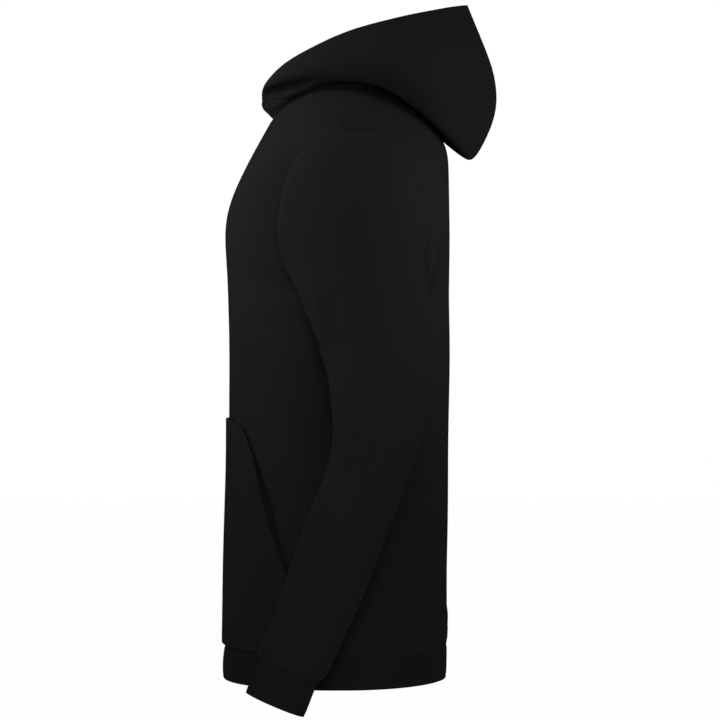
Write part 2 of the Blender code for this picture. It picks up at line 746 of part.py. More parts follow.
def build_slider(z):
    """Two plates round the chain, joined by a post, with lips round the tape and a bridge."""
    matrix = zip_matrix(z, zip_depth(z))
    half = SLIDER_LENGTH / 2
    plate_at = (CHANNEL + PLATE) / 2
    face = CHANNEL / 2 + PLATE
    lip_size = (LIP, 0.8, SLIDER_LENGTH - 1)
    adds = [
        block((2 * SLIDER_HALF, PLATE, SLIDER_LENGTH), (0, -plate_at, 0), bevel=1.5),
        block((POST, CHANNEL + 0.4, 3), (0, 0, half - 2)),
    ]
    for side in (-1, 1):
        for level in (-1, 1):
            lip_x = side * (SLIDER_HALF - LIP / 2 - 0.05)
            adds.append(block(lip_size, (lip_x, level * (CHANNEL / 2 - 0.3), 0)))
    tall = LUG_CLEAR + LUG
    for foot_z in (-2.2, half - 1.5):
        foot = (0, face + tall / 2 - 0.2, foot_z)
        adds.append(block((2 * LUG_HALF, tall + 0.4 - 0.2, LUG), foot))
    bar_length = half - 1.5 + 2.2 + LUG
    bar = (0, face + LUG_CLEAR + LUG / 2, (half - 1.5 - 2.2) / 2)
    adds.append(block((2 * LUG_HALF - 0.1, LUG, bar_length - 0.1), bar))
    front = block((2 * SLIDER_HALF, PLATE, SLIDER_LENGTH), (0, plate_at, 0), bevel=1.5)
    unions = [(add, "UNION") for add in adds]
    joined("zip_slider", front, unions, matrix, METAL_COLOUR, 0.35)
    return matrix, face


def build_pull_tab(slider_matrix, face):
    """The pull's bar lies under the bridge. Its origin is on the axis it turns about."""
    axis_height = face + LUG_CLEAR / 2
    matrix = slider_matrix @ Matrix.Translation(Vector((0, axis_height, 0.6)) * MM)
    length = PULL_LENGTH
    tab = block(
        (2 * PULL_HALF, PULL_BAR, length), (0, 0, PULL_BAR / 2 - length / 2), bevel=1.6
    )
    window = (2 * PULL_EYE_HALF, 3 * PULL_BAR, PULL_EYE)
    eye = block(window, (0, 0, -PULL_BAR / 2 - PULL_EYE / 2))
    hole = block((3.2, 3 * PULL_BAR, 8), (0, 0, PULL_BAR / 2 - length + 7), bevel=1.5)
    cuts = [(eye, "DIFFERENCE"), (hole, "DIFFERENCE")]
    joined("pull_tab", tab, cuts, matrix, METAL_COLOUR, 0.35)


def build_stops(rows, slider_z):
    for name, side in (("zip_top_stop_left", -1), ("zip_top_stop_right", 1)):
        z = slider_z + SLIDER_LENGTH / 2 + STOP / 2 + 1
        matrix = zip_matrix(z, zip_depth(z))
        stop = block((2.4, 2.6, STOP), (side * 1.7, 0, 0), bevel=0.5)
        joined(name, stop, [], matrix, METAL_COLOUR, 0.4)
    z = BODY_BOTTOM + BOX_LENGTH / 2 + 0.4
    matrix = zip_matrix(z, zip_depth(z))
    box = block((2 * BOX_HALF, 3.4, BOX_LENGTH), (0, 0, 0), bevel=1)
    slots = []
    for side in (-1, 1):
        slot = (BOX_HALF - CHAIN_HALF + 1, TAPE + 2 * ZIP_GAP, BOX_LENGTH * 2)
        slots.append((block(slot, (side * (CHAIN_HALF + slot[0] / 2), 0, 0)), "DIFFERENCE"))
    joined("zip_box", box, slots, matrix, METAL_COLOUR, 0.4)


# ---------------------------------------------------------------- the garment


def collection(name):
    made = bpy.data.collections.new(name)
    bpy.context.scene.collection.children.link(made)
    return made


for old in list(bpy.data.objects):
    bpy.data.objects.remove(old)
PARTS = collection("zip_up_hoodie")
TOOLS = collection("cutters")
TOOLS.hide_render = True


def main():
    front_rows = body_rows(CENTRE_Z, ARMHOLE_FRONT)
    back_rows = body_rows(BACK_CENTRE_Z, ARMHOLE_BACK)
    front, back = front_grid(front_rows), back_grid(back_rows)
    hem = ROWS["shoulder"] + ROWS["armhole"] + ROWS["side"]
    band_front, band_back = front[hem:], back[hem:]

    cloth = Cloth()
    cloth.add_both(("front_left", "front_right"), front[: hem + 1])
    cloth.add_both(("back", "back"), back[: hem + 1])
    cloth.add_both(("hem_band", "hem_band"), band_front)
    cloth.add_both(("hem_band", "hem_band"), band_back)

    first_ring = armhole_ring(front, back)
    count = len(first_ring)
    sleeve = [first_ring] + [sleeve_ring(section, count) for section in SLEEVE]
    cuff = [sleeve_ring(section, count) for section in CUFF]
    cloth.add_both(("sleeve_left", "sleeve_right"), sleeve, flip=True, closed=True)
    cloth.add_both(("cuff_left", "cuff_right"), cuff, flip=True, closed=True)

    neck = front[0] + back[0][1:]
    cloth.add_both(("hood_left", "hood_right"), hood_grid(neck), flip=True)
    cloth.weld()

    for panel in cloth.panels:
        double = panel == "hem_band" or panel.startswith("cuff")
        thickness, colour = (BAND, RIB_COLOUR) if double else (FLEECE, FLEECE_COLOUR)
        wall(panel, cloth.panel_faces(panel), thickness, colour)

    pocket = pocket_grid()
    framed = frames_of(pocket)
    lift = mouth_lift(pocket)
    lifted_strip("pocket_left", framed, lift, FLEECE, FLEECE_COLOUR)
    lifted_strip("pocket_right", frames_mirrored(framed), lift, FLEECE, FLEECE_COLOUR, flip=True)

    slider_z = build_zip(front_rows)
    matrix, face = build_slider(slider_z)
    build_pull_tab(matrix, face)
    build_stops(front_rows, slider_z)


main()
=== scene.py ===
import json
import math

import bpy
import numpy as np
from mathutils import Matrix, Vector
from mathutils.bvhtree import BVHTree
from mathutils.kdtree import KDTree

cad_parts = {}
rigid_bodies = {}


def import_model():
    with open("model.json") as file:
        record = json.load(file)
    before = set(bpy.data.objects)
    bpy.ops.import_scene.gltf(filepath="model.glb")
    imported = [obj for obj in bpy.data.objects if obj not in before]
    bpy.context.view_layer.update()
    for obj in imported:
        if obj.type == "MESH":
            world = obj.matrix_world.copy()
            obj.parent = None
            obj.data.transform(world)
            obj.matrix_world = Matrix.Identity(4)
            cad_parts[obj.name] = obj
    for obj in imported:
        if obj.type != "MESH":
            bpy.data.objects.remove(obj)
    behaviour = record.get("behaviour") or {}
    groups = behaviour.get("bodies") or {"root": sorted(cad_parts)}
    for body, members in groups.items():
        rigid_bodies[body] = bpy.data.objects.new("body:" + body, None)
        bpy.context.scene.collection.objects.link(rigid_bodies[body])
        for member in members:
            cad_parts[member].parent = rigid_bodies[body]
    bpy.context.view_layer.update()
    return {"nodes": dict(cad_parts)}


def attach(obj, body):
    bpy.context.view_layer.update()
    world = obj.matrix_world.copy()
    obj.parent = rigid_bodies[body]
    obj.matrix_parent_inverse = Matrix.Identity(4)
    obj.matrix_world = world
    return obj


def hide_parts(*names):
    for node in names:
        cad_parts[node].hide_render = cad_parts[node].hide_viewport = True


# A black zip-up hooded sweatshirt, filled out as worn with nobody in it.
# Metres; the front faces -Y and the wearer's left is +X. Tables of places are in millimetres.

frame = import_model()
mm = 0.001
reading = {  # how the outside of a solid's wall is found and made into quads
    "joined": 0.01,  # corners nearer than this become one
    "facing": 0.3,  # least cosine between a face of the inside and the point within
    "flat": 30,  # degrees between neighbouring faces on one side of a wall
    "quadFace": 60,
    "quadShape": 80,
    "quadEven": 1.5,
}


def deselectAll():
    for each in bpy.context.view_layer.objects:
        each.select_set(False)


def pick(thing):
    deselectAll()
    thing.select_set(True)
    bpy.context.view_layer.objects.active = thing


def editing(thing, kind="FACE"):
    pick(thing)
    bpy.ops.object.mode_set(mode="EDIT")
    bpy.ops.mesh.select_mode(type=kind)


def objectMode():
    bpy.ops.object.mode_set(mode="OBJECT")


def copyOf(nodeName, pieceName):
    # a copy of a solid's mesh with its loose triangles joined up
    piece = bpy.data.objects.new(pieceName, frame["nodes"][nodeName].data.copy())
    bpy.context.scene.collection.objects.link(piece)
    editing(piece)
    bpy.ops.mesh.select_all(action="SELECT")
    bpy.ops.mesh.remove_doubles(threshold=reading["joined"] * mm)
    bpy.ops.mesh.select_all(action="DESELECT")
    objectMode()
    return piece


def applyAll(piece):
    pick(piece)
    for modifier in list(piece.modifiers):
        bpy.ops.object.modifier_apply(modifier=modifier.name)


def pointsOf(piece):
    points = np.zeros(len(piece.data.vertices) * 3)
    piece.data.vertices.foreach_get("co", points)
    return points.reshape(-1, 3)


def normalsOf(piece):
    normals = np.zeros(len(piece.data.vertices) * 3)
    piece.data.vertices.foreach_get("normal", normals)
    return normals.reshape(-1, 3)


def setPoints(piece, points):
    piece.data.vertices.foreach_set("co", points.ravel())
    piece.data.update()


def onlyFinish(piece, finish):
    piece.data.materials.clear()
    piece.data.materials.append(finish)


def refine(piece, levels):
    finer = piece.modifiers.new("finer", "SUBSURF")
    finer.levels = levels
    finer.render_levels = levels
    finer.boundary_smooth = "PRESERVE_CORNERS"


def thicken(piece, thick):
    # gives a sheet its thickness, inwards from the outside
    wall = piece.modifiers.new("wall", "SOLIDIFY")
    wall.thickness = thick * mm
    wall.offset = -1


def newCutMap(piece):
    layers = piece.data.uv_layers
    while layers:
        layers.remove(layers[0])
    return layers.new(name="cut")


def treeOf(points):
    tree = KDTree(len(points))
    for place, point in enumerate(points):
        tree.insert(point, place)
    tree.balance()
    return tree


def surfaceOf(piece):
    mesh = piece.data
    corners = [vertex.co.copy() for vertex in mesh.vertices]
    return BVHTree.FromPolygons(corners, [tuple(face.vertices) for face in mesh.polygons])


def smoothStep(low, high, value):
    share = np.clip((value - low) / (high - low), 0, 1)
    return share * share * (3 - 2 * share)


def randomFor(name):
    return np.random.default_rng(sum(ord(letter) * (7 + place) for place, letter in enumerate(name)))


class Wire:
    # one output of a finish, so that finishes can be written as sums
    def __init__(self, finish, socket):
        self.finish = finish
        self.socket = socket

    def sum(self, operation, first, second):
        return self.finish.node("ShaderNodeMath", {"operation": operation}, {0: first, 1: second})

    def __add__(self, other):
        return self.sum("ADD", self, other)

    def __radd__(self, other):
        return self.sum("ADD", other, self)

    def __mul__(self, other):
        return self.sum("MULTIPLY", self, other)

    def __rmul__(self, other):
        return self.sum("MULTIPLY", other, self)


class Finish:
    def __init__(self, name, colour, roughness, metal=0):
        self.material = bpy.data.materials.new(name)
        self.material.use_nodes = True
        self.material.diffuse_color = (*colour, 1)
        self.tree = self.material.node_tree
        self.shader = self.tree.nodes["Principled BSDF"]
        self.set("Base Color", (*colour, 1))
        self.set("Roughness", roughness)
        self.set("Metallic", metal)

    def set(self, place, value):
        if isinstance(value, Wire):
            self.tree.links.new(value.socket, self.shader.inputs[place])
        else:
            self.shader.inputs[place].default_value = value

    def node(self, kind, settings, values, out=0):
        added = self.tree.nodes.new(kind)
        for setting, value in settings.items():
            setattr(added, setting, value)
        for place, value in values.items():
            if isinstance(value, Wire):
                self.tree.links.new(value.socket, added.inputs[place])
            else:
                added.inputs[place].default_value = value
        return Wire(self, added.outputs[out])

    def noise(self, where, scale, detail, roughness=0.5):
        return self.node("ShaderNodeTexNoise", {}, {"Vector": where, "Scale": scale, "Detail": detail,
                                                    "Roughness": roughness})

    def blend(self, share, first, second):
        return self.node("ShaderNodeMix", {"data_type": "RGBA"}, {0: share, 6: first, 7: second}, out=2)

    def bump(self, height, strength, distance):
        self.set("Normal", self.node("ShaderNodeBump", {}, {"Height": height, "Strength": strength,
                                                            "Distance": distance}))


clothLook = {
    "colour": (0.0035, 0.0035, 0.0035),  # the fleece, as linear values
    "worn": (0.0047, 0.0047, 0.0047),  # where the nap stands up
    "band": (0.0030, 0.0030, 0.0029),
    "bandWorn": (0.0040, 0.0040, 0.0039),
    "roughness": 0.92,
    "sheen": 0.003,
    "sheenSpread": 0.5,
    "gloss": 0.0,
    "wale": 0.85 * mm,  # width of one row of knit
    "course": 0.65 * mm,
    "bandWale": 1.4,  # the band's rows against the fleece's
    "bandCourse": 1.3,
    "slant": 2.2,  # how far a loop leans into its row
    "patches": 14,  # scales of the uneven patches, the nap and its fuzz
    "nap": 620,
    "fuzz": 1900,
    "patchShare": 0.55,  # what the patches and the nap each add to the wear
    "napShare": 0.45,
    "waleHigh": 0.16,  # what each adds to the relief
    "courseHigh": 0.12,
    "napHigh": 0.5,
    "fuzzHigh": 0.4,
    "relief": 0.55,
    "napLength": 0.30 * mm,
}


def knitted(name, colour, worn, wale, course):
    # jersey knit on the sheet's own map, which is in metres, under a soft uneven nap
    look = clothLook
    finish = Finish(name, colour, look["roughness"])
    cut = finish.node("ShaderNodeUVMap", {"uv_map": "cut"}, {})
    across = finish.node("ShaderNodeSeparateXYZ", {}, {0: cut})
    along = finish.node("ShaderNodeSeparateXYZ", {}, {0: cut}, out=1)
    place = finish.node("ShaderNodeTexCoord", {}, {}, out=3)
    patches = finish.noise(place, look["patches"], detail=3)
    nap = finish.noise(place, look["nap"], detail=2)
    fuzz = finish.noise(place, look["fuzz"], detail=2, roughness=0.6)
    wales = finish.node("ShaderNodeMath", {"operation": "SINE"}, {0: across * (2 * math.pi / wale)})
    slant = finish.node("ShaderNodeMath", {"operation": "ABSOLUTE"}, {0: wales})
    courses = finish.node("ShaderNodeMath", {"operation": "SINE"},
                          {0: along * (2 * math.pi / course) + slant * look["slant"]})
    wear = patches * look["patchShare"] + nap * look["napShare"]
    finish.set("Base Color", finish.blend(wear, (*colour, 1), (*worn, 1)))
    finish.bump(wales * look["waleHigh"] + courses * look["courseHigh"] + nap * look["napHigh"]
                + fuzz * look["fuzzHigh"], look["relief"], look["napLength"])
    finish.set("Sheen Weight", look["sheen"])
    finish.set("Sheen Roughness", look["sheenSpread"])
    finish.set("Specular IOR Level", look["gloss"])
    return finish.material


fleece = knitted("black fleece", clothLook["colour"], clothLook["worn"], clothLook["wale"],
                 clothLook["course"])
band = knitted("black band knit", clothLook["band"], clothLook["bandWorn"],
               clothLook["wale"] * clothLook["bandWale"], clothLook["course"] * clothLook["bandCourse"])
print("finishes made")

# One entry for each piece of cloth. "within" is a point on its inside, "seam" the two ends of
# the seam that opens a tube flat, "hangs" what carries it.
panels = {
    "front_left": {"within": (100, -20, -400), "hangs": ("back", "hood_left")},
    "front_right": {"within": (-100, -20, -400), "hangs": ("back", "hood_right")},
    "back": {"within": (50, 0, -400), "hangs": ("front_left", "front_right")},
    "sleeve_left": {"within": (261, 45, -365), "hangs": ("front_left", "back"),
                    "seam": ((203, 12, -258), (212, -40, -668))},
    "sleeve_right": {"within": (-261, 45, -365), "hangs": ("front_right", "back"),
                     "seam": ((-203, 12, -258), (-212, -40, -668))},
    "hood_left": {"within": (50, 60, 20), "hangs": ("back", "front_left")},
    "hood_right": {"within": (-50, 60, 20), "hangs": ("back", "front_right")},
    "pocket_left": {"within": (100, 0, -500), "hangs": ("front_left",)},
    "pocket_right": {"within": (-100, 0, -500), "hangs": ("front_right",)},
    "hem_band": {"within": (0, 0, -675), "hangs": ("front_left", "front_right", "back"),
                 "slot": "band"},
    "cuff_left": {"within": (241, -64, -689), "hangs": ("sleeve_left",), "slot": "band",
                  "seam": ((212, -44, -670), (210, -60, -706))},
    "cuff_right": {"within": (-241, -64, -689), "hangs": ("sleeve_right",), "slot": "band",
                   "seam": ((-212, -44, -670), (-210, -60, -706))},
}

cloth = {
    "levels": 3,
    "thick": 2.2,
    "bandThick": 3.6,
    "deeper": 1.35,  # raises every fold alike
    "throat": np.array((10.5, -92.5, -22)) * mm,  # the front corner of the collar
    "seamDip": 0.7,  # how far the cloth is pulled in along its seams
    "seamReach": 4.0,
    "seamShut": 0.9,  # edges of two panels nearer than this are sewn together
    "meeting": 1.5,  # an edge this near to two other panels is where all three meet
    "collarStill": (2, 14),  # how far from the collar's front corner the folds set in
    "zipStill": (12, 34),  # and how far from the zip
    "swell": 0.16,
    "waves": ((31, 17, 9), (-23, 29, 14), (12, -19, 37), (44, 8, -27), (-9, 41, 22)),
    "smooth": 50,  # degrees, up to which the cloth is shaded as one
}


def outsideOf(nodeName, pieceName, within):
    # only the outside of a wall is kept, as quads; its inside is found from a point within
    piece = copyOf(nodeName, pieceName)
    middle = Vector(within) * mm
    facing = [face for face in piece.data.polygons
              if face.normal.dot(middle - face.center) > reading["facing"] * (middle - face.center).length]
    min(facing, key=lambda face: (face.center - middle).length).select = True
    editing(piece)
    bpy.ops.mesh.faces_select_linked_flat(sharpness=math.radians(reading["flat"]))
    bpy.ops.mesh.select_more(use_face_step=True)
    bpy.ops.mesh.delete(type="FACE")
    bpy.ops.mesh.select_all(action="SELECT")
    bpy.ops.mesh.tris_convert_to_quads(face_threshold=math.radians(reading["quadFace"]),
                                       shape_threshold=math.radians(reading["quadShape"]),
                                       topology_influence=reading["quadEven"])
    bpy.ops.mesh.select_all(action="DESELECT")
    objectMode()
    return piece


def edgePairs(piece):
    # the two corners of each line along the sheet's edge
    uses = {}
    for face in piece.data.polygons:
        for key in face.edge_keys:
            uses[key] = uses.get(key, 0) + 1
    return [key for key, count in uses.items() if count == 1]


def onEdge(piece):
    edge = np.zeros(len(piece.data.vertices), bool)
    edge[np.array(edgePairs(piece)).ravel()] = True
    return edge


def openAlong(piece, ends):
    # marks the seam of a tube, from one of its ends to the other
    points = pointsOf(piece)
    edge = onEdge(piece)
    for end in ends:
        far = np.linalg.norm(points - np.array(end) * mm, axis=1)
        piece.data.vertices[int(np.where(edge, far, np.inf).argmin())].select = True
    editing(piece, "VERT")
    bpy.ops.mesh.shortest_path_select(edge_mode="SELECT")
    bpy.ops.mesh.mark_seam(clear=False)
    bpy.ops.mesh.select_all(action="DESELECT")
    objectMode()


def cutFlat(piece):
    # lays the sheet flat on a map in metres, its length upwards, and returns the cut's size
    newCutMap(piece)
    editing(piece)
    bpy.ops.mesh.select_all(action="SELECT")
    bpy.ops.uv.unwrap(method="ANGLE_BASED", margin=0)
    bpy.ops.mesh.select_all(action="DESELECT")
    objectMode()
    mesh = piece.data
    flat = np.zeros(len(mesh.loops) * 2)
    mesh.uv_layers["cut"].data.foreach_get("uv", flat)
    flat = flat.reshape(-1, 2)
    height = np.array([mesh.vertices[loop.vertex_index].co.z for loop in mesh.loops])
    flatArea = 0
    for face in mesh.polygons:
        x, y = flat[list(face.loop_indices)].T
        flatArea += abs(np.dot(x, np.roll(y, 1)) - np.dot(y, np.roll(x, 1))) / 2
    area = sum(face.area for face in mesh.polygons)
    flat *= math.sqrt(area / flatArea)
    rise = np.linalg.lstsq(np.c_[flat, np.ones(len(flat))], height, rcond=None)[0][:2]
    turn = math.pi / 2 - math.atan2(rise[1], rise[0])
    flat = flat @ np.array([[math.cos(turn), math.sin(turn)], [-math.sin(turn), math.cos(turn)]])
    flat -= flat.min(axis=0)
    mesh.uv_layers["cut"].data.foreach_set("uv", flat.ravel())
    width, length = flat.max(axis=0)
    return float(width), float(length), float(area)


# The main folds, as ridges (high > 0) and troughs (high < 0). "seen" is the side from which a
# path is drawn: (y, z) from the left or right, (x, z) from the front or back. "loose" is how far
# the like fold on the other side may stray.
folds = [
    # sleeve: front fold below the armhole, inner elbow, forearm and the puff above the cuff
    {"seen": "left", "on": ("sleeve_left",), "wide": 9, "high": 3.2, "lean": 0.2,
     "path": ((-30, -226), (-27, -248), (-22, -278), (-15, -318), (-9, -356))},
    {"seen": "left", "on": ("sleeve_left",), "wide": 9, "high": -2.8, "lean": -0.2,
     "path": ((-8, -236), (-4, -266), (1, -300), (6, -340))},
    {"seen": "left", "on": ("sleeve_left",), "wide": 7, "high": -1.9, "lean": 0.3,
     "path": ((-8, -404), (8, -412), (30, -414))},
    {"seen": "left", "on": ("sleeve_left",), "wide": 9, "high": 1.7, "lean": 0,
     "path": ((-12, -424), (6, -428), (34, -424))},
    {"seen": "left", "on": ("sleeve_left",), "wide": 8, "high": -1.7, "lean": -0.3,
     "path": ((-22, -448), (2, -446), (22, -436))},
    {"seen": "left", "on": ("sleeve_left",), "wide": 15, "high": 2.5, "lean": 0,
     "path": ((-66, -540), (-61, -562), (-66, -590))},
    {"seen": "left", "on": ("sleeve_left",), "wide": 10, "high": 2.6, "lean": 0.2,
     "path": ((-94, -638), (-78, -641), (-54, -638))},
    {"seen": "left", "on": ("sleeve_left",), "wide": 4.5, "high": -2.2, "lean": 0.2,
     "path": ((-74, -652), (-50, -655), (-22, -651))},
    {"seen": "left", "on": ("sleeve_left",), "wide": 6, "high": -2.0, "lean": -0.2,
     "path": ((-52, -627), (-32, -630), (-12, -624))},
    {"seen": "left", "on": ("sleeve_left",), "wide": 24, "high": -1.6, "lean": 0,
     "path": ((70, -300), (64, -372), (50, -440))},
    # body: the long ridge on the back beside the sleeve, the upright one on the front
    {"seen": "left", "on": ("back",), "wide": 8, "high": 4.0, "lean": 0.25,
     "path": ((124, -140), (119, -166), (113, -196), (107, -228), (103, -264))},
    {"seen": "left", "on": ("back",), "wide": 8, "high": -3.8, "lean": 0,
     "path": ((106, -150), (102, -182), (98, -214), (94, -246))},
    {"seen": "left", "on": ("front_left",), "wide": 12, "high": 1.8, "lean": -0.2,
     "path": ((-112, -250), (-113, -320), (-113, -380), (-114, -420))},
    {"seen": "left", "on": ("front_left",), "wide": 15, "high": -1.2, "lean": 0,
     "path": ((-92, -262), (-91, -320), (-92, -384))},
    # the pocket's mouth gapes: the front sinks behind its edge
    {"seen": "left", "on": ("front_left",), "wide": 3.4, "high": -4.4, "lean": 0, "loose": 0,
     "path": ((-105, -412), (-89, -464), (-76, -506), (-63, -568))},
    # drag lines from the underarm over the chest and the shoulder blade
    {"seen": "front", "on": ("front_left",), "wide": 10, "high": 2.0, "lean": 0.3,
     "path": ((188, -236), (170, -216), (146, -202), (120, -196))},
    {"seen": "front", "on": ("front_left",), "wide": 9, "high": -1.7, "lean": 0,
     "path": ((190, -252), (172, -238), (150, -226), (128, -222))},
    {"seen": "front", "on": ("front_left",), "wide": 12, "high": 1.6, "lean": -0.2,
     "path": ((192, -276), (172, -268), (150, -266), (118, -276))},
    {"seen": "back", "on": ("back",), "wide": 15, "high": 1.7, "lean": 0.2,
     "path": ((186, -226), (158, -212), (120, -214), (78, -228))},
    {"seen": "back", "on": ("back",), "wide": 17, "high": -1.5, "lean": 0,
     "path": ((184, -262), (150, -254), (106, -266), (70, -290))},
    {"seen": "back", "on": ("back",), "wide": 22, "high": 2.0, "lean": 0.2,
     "path": ((60, -560), (84, -470), (92, -380))},
    {"seen": "back", "on": ("back",), "wide": 20, "high": -1.5, "lean": 0,
     "path": ((22, -600), (34, -500), (40, -420))},
    {"seen": "front", "on": ("front_left", "pocket_left"), "wide": 18, "high": 1.3, "lean": 0,
     "path": ((70, -640), (92, -580), (104, -500))},
    # hood: the roll at the throat, and soft swells in the bag
    {"seen": "left", "on": ("hood_left",), "wide": 6.5, "high": -4.6, "lean": 0.2,
     "path": ((-88, -13), (-70, -9), (-50, -5), (-26, -1))},
    {"seen": "left", "on": ("hood_left",), "wide": 3.8, "high": -2.2, "lean": 0,
     "path": ((-90, -20), (-78, -19), (-60, -17))},
    {"seen": "left", "on": ("hood_left",), "wide": 8, "high": 1.6, "lean": 0,
     "path": ((-88, -1), (-66, 6), (-40, 11), (-16, 12))},
    {"seen": "left", "on": ("hood_left",), "wide": 26, "high": 2.0, "lean": 0.2,
     "path": ((10, 26), (58, 14), (104, -8), (140, -46))},
    {"seen": "left", "on": ("hood_left",), "wide": 22, "high": -1.8, "lean": 0,
     "path": ((-6, 8), (48, -6), (88, -30), (118, -66))},
]

sides = {  # where a view looks from, and which two axes its paths are drawn on
    "left": (Vector((1, 0, 0)), 1, 2),
    "right": (Vector((-1, 0, 0)), 1, 2),
    "front": (Vector((0, -1, 0)), 0, 2),
    "back": (Vector((0, 1, 0)), 0, 2),
}

# Short gathers above the hem band: how far round, how long and how high
hemTop = -654
gathers = {
    "front": ((-158, 34, 1.0), (-121, 46, 1.3), (-83, 30, 0.8), (-58, 52, 1.2), (49, 40, 1.1),
              (74, 28, 0.8), (112, 50, 1.4), (140, 33, 0.9), (171, 42, 1.2)),
    "back": ((-170, 40, 1.2), (-139, 30, 0.9), (-96, 56, 1.5), (-61, 36, 1.0), (-20, 48, 1.2),
             (15, 32, 0.8), (47, 54, 1.4), (88, 38, 1.0), (124, 50, 1.3), (165, 34, 1.1)),
}
drawn = list(folds)  # these have a like fold on the wearer's right, the gathers don't
for seen, listed in gathers.items():
    for x, long, high in listed:
        sheet = "back" if seen == "back" else "front_left" if x > 0 else "front_right"
        folds.append({"seen": seen, "on": (sheet,), "wide": 9, "high": high, "lean": 0.15,
                      "path": ((x, hemTop), (x + 2, hemTop + long * 0.5), (x + 5, hemTop + long))})

unlike = {  # how far a fold on the wearer's right may differ from its like
    "moved": 5,
    "bent": 2.5,
    "high": (0.75, 1.1),
    "wide": (0.9, 1.15),
}


def otherSide(fold, random):
    # the like fold on the wearer's right, never quite the same
    seen, path = fold["seen"], np.array(fold["path"], float)
    if seen == "left":
        seen = "right"
    else:
        path[:, 0] *= -1
    moved, bent = unlike["moved"], unlike["bent"]
    shift = random.uniform(-moved, moved, 2) + random.uniform(-bent, bent, path.shape)
    path += shift * fold.get("loose", 1)
    names = tuple(name.replace("left", "right") for name in fold["on"])
    return {**fold, "seen": seen, "on": names, "path": path, "lean": -fold["lean"],
            "high": fold["high"] * random.uniform(*unlike["high"]),
            "wide": fold["wide"] * random.uniform(*unlike["wide"])}


folds += [otherSide(fold, randomFor(str(place))) for place, fold in enumerate(drawn)]

foldShape = {
    "steps": 12,  # places on a line for each of its marks
    "reach": 3,  # in widths
    "ends": 0.35,  # the share of its length over which a fold rises from nothing
    "uneven": 0.16,
    "waver": 9,
    "rim": 0.55,  # how deep the cloth dips beside a ridge
    "fall": 0.85,
}


def pathOn(surface, fold):
    # the fold's line on a sheet, as a smooth row of points
    look, first, second = sides[fold["seen"]]
    marks = np.array(fold["path"], float) * mm
    steps = np.linspace(0, len(marks) - 1, foldShape["steps"] * len(marks))
    smooth = np.array([catmull(marks, step) for step in steps])
    line = []
    for pair in smooth:
        start = look * 2  # well outside the garment
        start[first], start[second] = pair
        place = surface.ray_cast(start, -look)[0]
        if place is not None:
            line.append(place)
    return np.array(line)


def catmull(marks, step):
    place = min(int(step), len(marks) - 2)
    share = step - place
    before, after = marks[max(place - 1, 0)], marks[min(place + 2, len(marks) - 1)]
    start, end = marks[place], marks[place + 1]
    return 0.5 * (2 * start + (end - before) * share
                  + (2 * before - 5 * start + 4 * end - after) * share ** 2
                  + (3 * start - before - 3 * end + after) * share ** 3)


def heightOf(fold, line, points, normals):
    # how far a fold lifts each point of a sheet
    lift = np.zeros(len(points))
    reach = fold["wide"] * mm * foldShape["reach"]
    lowest, highest = line.min(axis=0) - reach, line.max(axis=0) + reach
    near = np.flatnonzero(((points > lowest) & (points < highest)).all(axis=1))
    if len(near) == 0:
        return lift
    gaps = points[near][:, None, :] - line[None, :, :]
    far = np.linalg.norm(gaps, axis=2)
    closest = far.argmin(axis=1)
    along = np.gradient(line, axis=0)[closest]
    across = np.cross(normals[near], along)
    side = np.sign(np.einsum("ij,ij->i", across, gaps[range(len(near)), closest]))
    share = closest / (len(line) - 1)
    ends = smoothStep(0, foldShape["ends"], share) * smoothStep(0, foldShape["ends"], 1 - share)
    uneven = 1 + foldShape["uneven"] * np.sin(share * foldShape["waver"] + fold["wide"])
    width = fold["wide"] * mm * (1 + fold["lean"] * side)
    spread = far.min(axis=1) / width
    profile = (1 - foldShape["rim"] * spread ** 2) * np.exp(-foldShape["fall"] * spread ** 2)
    lift[near] = fold["high"] * cloth["deeper"] * mm * profile * ends * uneven
    return lift


def swell(points):
    # the cloth's slow unevenness, the same on both sides of a seam
    total = sum(np.sin(points @ np.array(wave) + place * 1.7)
                for place, wave in enumerate(cloth["waves"]))
    return total * cloth["swell"] * mm


def edgeLine(piece):
    # places along the sheet's edge, close together
    points = pointsOf(piece)
    ends = np.array(edgePairs(piece))
    return np.concatenate([points[ends].mean(axis=1), points[ends[:, 0]]])


def distanceTo(line, points):
    tree = treeOf(line)
    return np.array([tree.find(point)[2] for point in points])


def holdCorners(name):
    # the edge passes through its own corners and wherever three panels meet
    piece = sheets[name]
    points = pointsOf(piece)
    meeting = np.zeros(len(points), int)
    for line in piece.data.edges:
        meeting[list(line.vertices)] += 1
    touching = np.zeros(len(points), int)
    for other, line in firstEdges.items():
        if other != name:
            gaps = np.linalg.norm(points[:, None, :] - line[None, :, :], axis=2).min(axis=1)
            touching += gaps < cloth["meeting"] * mm
    held = onEdge(piece) & ((meeting == 2) | (touching > 1))
    crease = piece.data.attributes.new("crease_vert", "FLOAT", "POINT")
    crease.data.foreach_set("value", held.astype(np.float32))


def shutSeams():
    # places that meet at a seam are moved to their common middle, which shuts it
    owners, before = [], []
    for name, piece in sheets.items():
        if name.startswith("pocket"):
            continue
        points = pointsOf(piece)
        for corner in np.flatnonzero(onEdge(piece)):
            owners.append((name, corner))
            before.append(points[corner])
    tree = treeOf(before)
    after = np.array([shaped[name][corner] for name, corner in owners])
    for (name, corner), point, own in zip(owners, before, after):
        met = {name: (0, own)}
        for _, place, far in tree.find_range(point, cloth["seamShut"] * mm):
            other = owners[place][0]
            if other != name and (other not in met or far < met[other][0]):
                met[other] = (far, after[place])
        shaped[name][corner] = np.mean([moved for _, moved in met.values()], axis=0)


